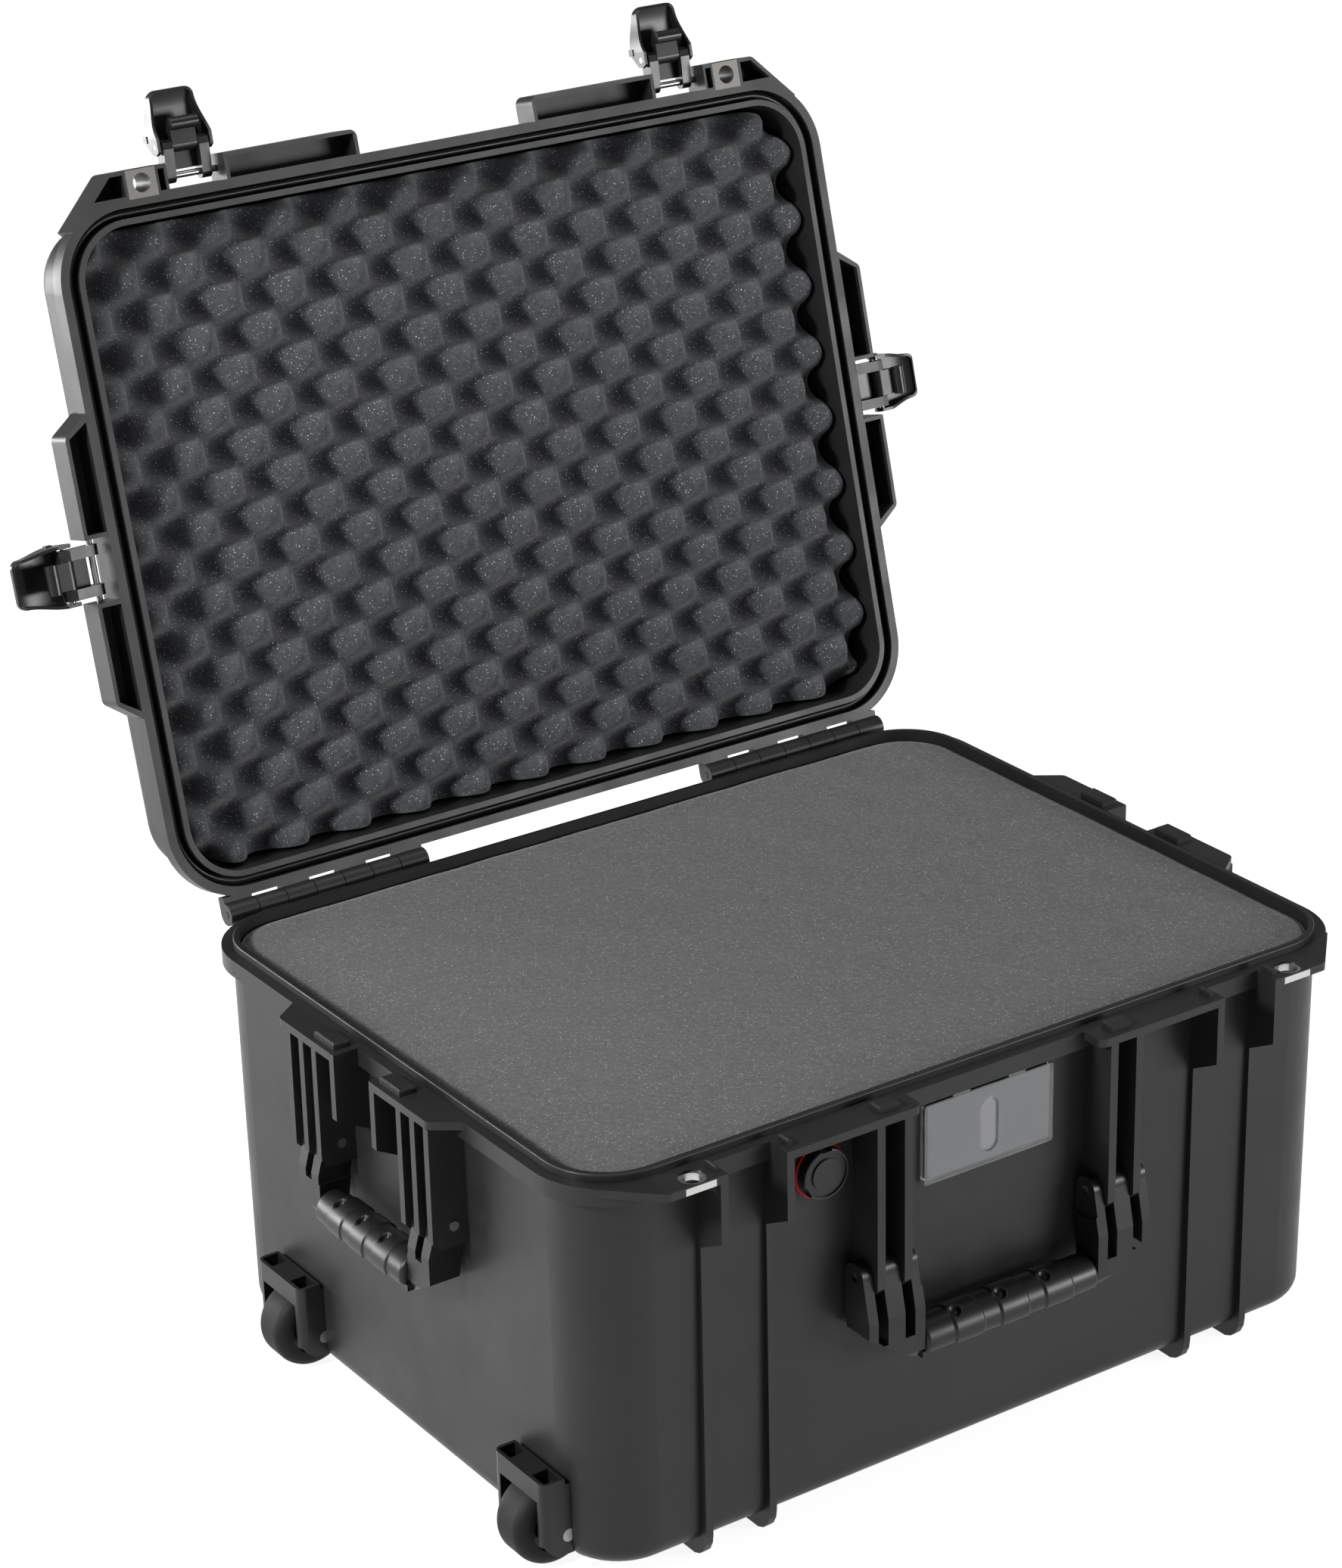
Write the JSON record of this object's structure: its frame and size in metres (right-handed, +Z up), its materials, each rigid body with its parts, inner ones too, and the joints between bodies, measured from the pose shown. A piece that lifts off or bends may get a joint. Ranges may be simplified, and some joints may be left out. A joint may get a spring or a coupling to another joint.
{
  "type": "wheeled protective equipment case",
  "caption": "Wheeled moulded equipment case standing open: hinged lid with over-centre latches, swing handles, pull handle, sealed rim and foam interior.",
  "frame": {"origin": "middle of the bounding box of the open case in plan, on the ground plane that the feet stand on", "axes": "+X along the long side away from the wheels, -Y towards the front with the front handle, +Z up; the lid is open at rest"},
  "size_m": [0.6746, 0.6206, 0.7282],
  "materials": {
    "shell": "fine grained moulded polymer",
    "trim": "moulded polymer",
    "grip": "soft overmould",
    "seal": "smooth, slightly shiny",
    "seal_red": "smooth",
    "foam_base": "open cell foam",
    "foam_lid": "open cell foam",
    "steel": "stainless",
    "aluminium": "anodised",
    "tyre": "worn rubber",
    "clear": "frosted clear plastic",
    "card": "blank card"
  },
  "bodies": {
    "base": {"base_shell": "shell", "card_holder": "clear", "foam_floor_layer": "foam_base", "foam_middle_layer": "foam_base", "foam_top_layer": "foam_base", "foam_upper_layer": "foam_base", "handle_front_pins": "steel", "handle_left_pins": "steel", "handle_right_pins": "steel", "hasp_plate_base_left": "steel", "hasp_plate_base_right": "steel", "hinge_pin_left": "steel", "hinge_pin_right": "steel", "name_card": "card", "pressure_valve_body": "trim", "pressure_valve_cap": "trim", "pressure_valve_seal": "seal_red", "trolley_cover": "shell", "trolley_cover_screws": "steel", "trolley_guide_tubes": "aluminium", "wheel_front_axle": "steel", "wheel_housing_front": "trim", "wheel_housing_rear": "trim", "wheel_housing_screws": "steel", "wheel_rear_axle": "steel"},
    "lid": {"lid_shell": "shell", "lid_gasket": "seal", "lid_foam": "foam_lid", "hasp_plate_lid_left": "steel", "hasp_plate_lid_right": "steel", "latch_pivot_pins": "steel"},
    "latch_front_left_arm_body": {"latch_front_left_arm": "trim", "latch_front_left_link_pin": "steel"},
    "latch_front_left_lever_body": {"latch_front_left_lever": "trim"},
    "latch_front_right_arm_body": {"latch_front_right_arm": "trim", "latch_front_right_link_pin": "steel"},
    "latch_front_right_lever_body": {"latch_front_right_lever": "trim"},
    "latch_left_end_arm_body": {"latch_left_end_arm": "trim", "latch_left_end_link_pin": "steel"},
    "latch_left_end_lever_body": {"latch_left_end_lever": "trim"},
    "latch_right_end_arm_body": {"latch_right_end_arm": "trim", "latch_right_end_link_pin": "steel"},
    "latch_right_end_lever_body": {"latch_right_end_lever": "trim"},
    "handle_front": {"handle_front_frame": "trim", "handle_front_grip": "grip"},
    "handle_left": {"handle_left_frame": "trim", "handle_left_grip": "grip"},
    "handle_right": {"handle_right_frame": "trim", "handle_right_grip": "grip"},
    "wheel_front": {"wheel_front_tyre": "tyre", "wheel_front_hub": "trim", "wheel_front_bearings": "steel"},
    "wheel_rear": {"wheel_rear_tyre": "tyre", "wheel_rear_hub": "trim", "wheel_rear_bearings": "steel"},
    "trolley_stage": {"trolley_middle_stage": "aluminium"},
    "trolley_handle": {"trolley_inner_tubes": "aluminium", "trolley_grip": "trim"},
    "trolley_button": {"trolley_release_button": "trim"}
  },
  "joints": [
    {"name": "lid_hinge", "type": "hinge", "parent": "base", "child": "lid", "pos_m": [0, 0.14736, 0.254], "axis": [1, 0, 0], "range_deg": [0, 104.7]},
    {"name": "latch_front_left_swing", "type": "hinge", "parent": "lid", "child": "latch_front_left_arm_body", "pos_m": [-0.1765, 0.27342, 0.67933], "axis": [1, 0, 0], "range_deg": [0, 90]},
    {"name": "latch_front_left_lever_lift", "type": "hinge", "parent": "latch_front_left_arm_body", "child": "latch_front_left_lever_body", "pos_m": [-0.1765, 0.27702, 0.697], "axis": [-1, 0, 0], "range_deg": [0, 45]},
    {"name": "latch_front_right_swing", "type": "hinge", "parent": "lid", "child": "latch_front_right_arm_body", "pos_m": [0.1765, 0.27342, 0.67933], "axis": [1, 0, 0], "range_deg": [0, 90]},
    {"name": "latch_front_right_lever_lift", "type": "hinge", "parent": "latch_front_right_arm_body", "child": "latch_front_right_lever_body", "pos_m": [0.1765, 0.27702, 0.697], "axis": [-1, 0, 0], "range_deg": [0, 45]},
    {"name": "latch_left_end_swing", "type": "hinge", "parent": "lid", "child": "latch_left_end_arm_body", "pos_m": [-0.2858, 0.21754, 0.46634], "axis": [0, 0.2538, 0.9673], "range_deg": [0, 90]},
    {"name": "latch_left_end_lever_lift", "type": "hinge", "parent": "latch_left_end_arm_body", "child": "latch_left_end_lever_body", "pos_m": [-0.3038, 0.21658, 0.46659], "axis": [0, -0.2538, -0.9673], "range_deg": [0, 45]},
    {"name": "latch_right_end_swing", "type": "hinge", "parent": "lid", "child": "latch_right_end_arm_body", "pos_m": [0.2858, 0.21754, 0.46634], "axis": [0, -0.2538, -0.9673], "range_deg": [0, 90]},
    {"name": "latch_right_end_lever_lift", "type": "hinge", "parent": "latch_right_end_arm_body", "child": "latch_right_end_lever_body", "pos_m": [0.3038, 0.21658, 0.46659], "axis": [0, 0.2538, 0.9673], "range_deg": [0, 45]},
    {"name": "handle_front_swing", "type": "hinge", "parent": "base", "child": "handle_front", "pos_m": [0, -0.29234, 0.153], "axis": [-1, 0, 0], "range_deg": [0, 90]},
    {"name": "handle_left_swing", "type": "hinge", "parent": "base", "child": "handle_left", "pos_m": [-0.2803, -0.07984, 0.185], "axis": [0, 1, 0], "range_deg": [0, 90]},
    {"name": "handle_right_swing", "type": "hinge", "parent": "base", "child": "handle_right", "pos_m": [0.2803, -0.07984, 0.185], "axis": [0, -1, 0], "range_deg": [0, 90]},
    {"name": "wheel_front_spin", "type": "hinge", "parent": "base", "child": "wheel_front", "pos_m": [-0.27016, -0.22484, 0.027], "axis": [0, 1, 0], "continuous": true},
    {"name": "wheel_rear_spin", "type": "hinge", "parent": "base", "child": "wheel_rear", "pos_m": [-0.27016, 0.04216, 0.027], "axis": [0, 1, 0], "continuous": true},
    {"name": "trolley_stage_slide", "type": "slide", "parent": "base", "child": "trolley_stage", "axis": [1, 0, 0], "range_m": [0, 0.39]},
    {"name": "trolley_handle_slide", "type": "slide", "parent": "trolley_stage", "child": "trolley_handle", "axis": [1, 0, 0], "range_m": [0, 0.39]},
    {"name": "trolley_button_press", "type": "slide", "parent": "trolley_handle", "child": "trolley_button", "axis": [-1, 0, 0], "range_m": [0, 0.0025], "stiffness_N_per_m": 300}
  ]
}
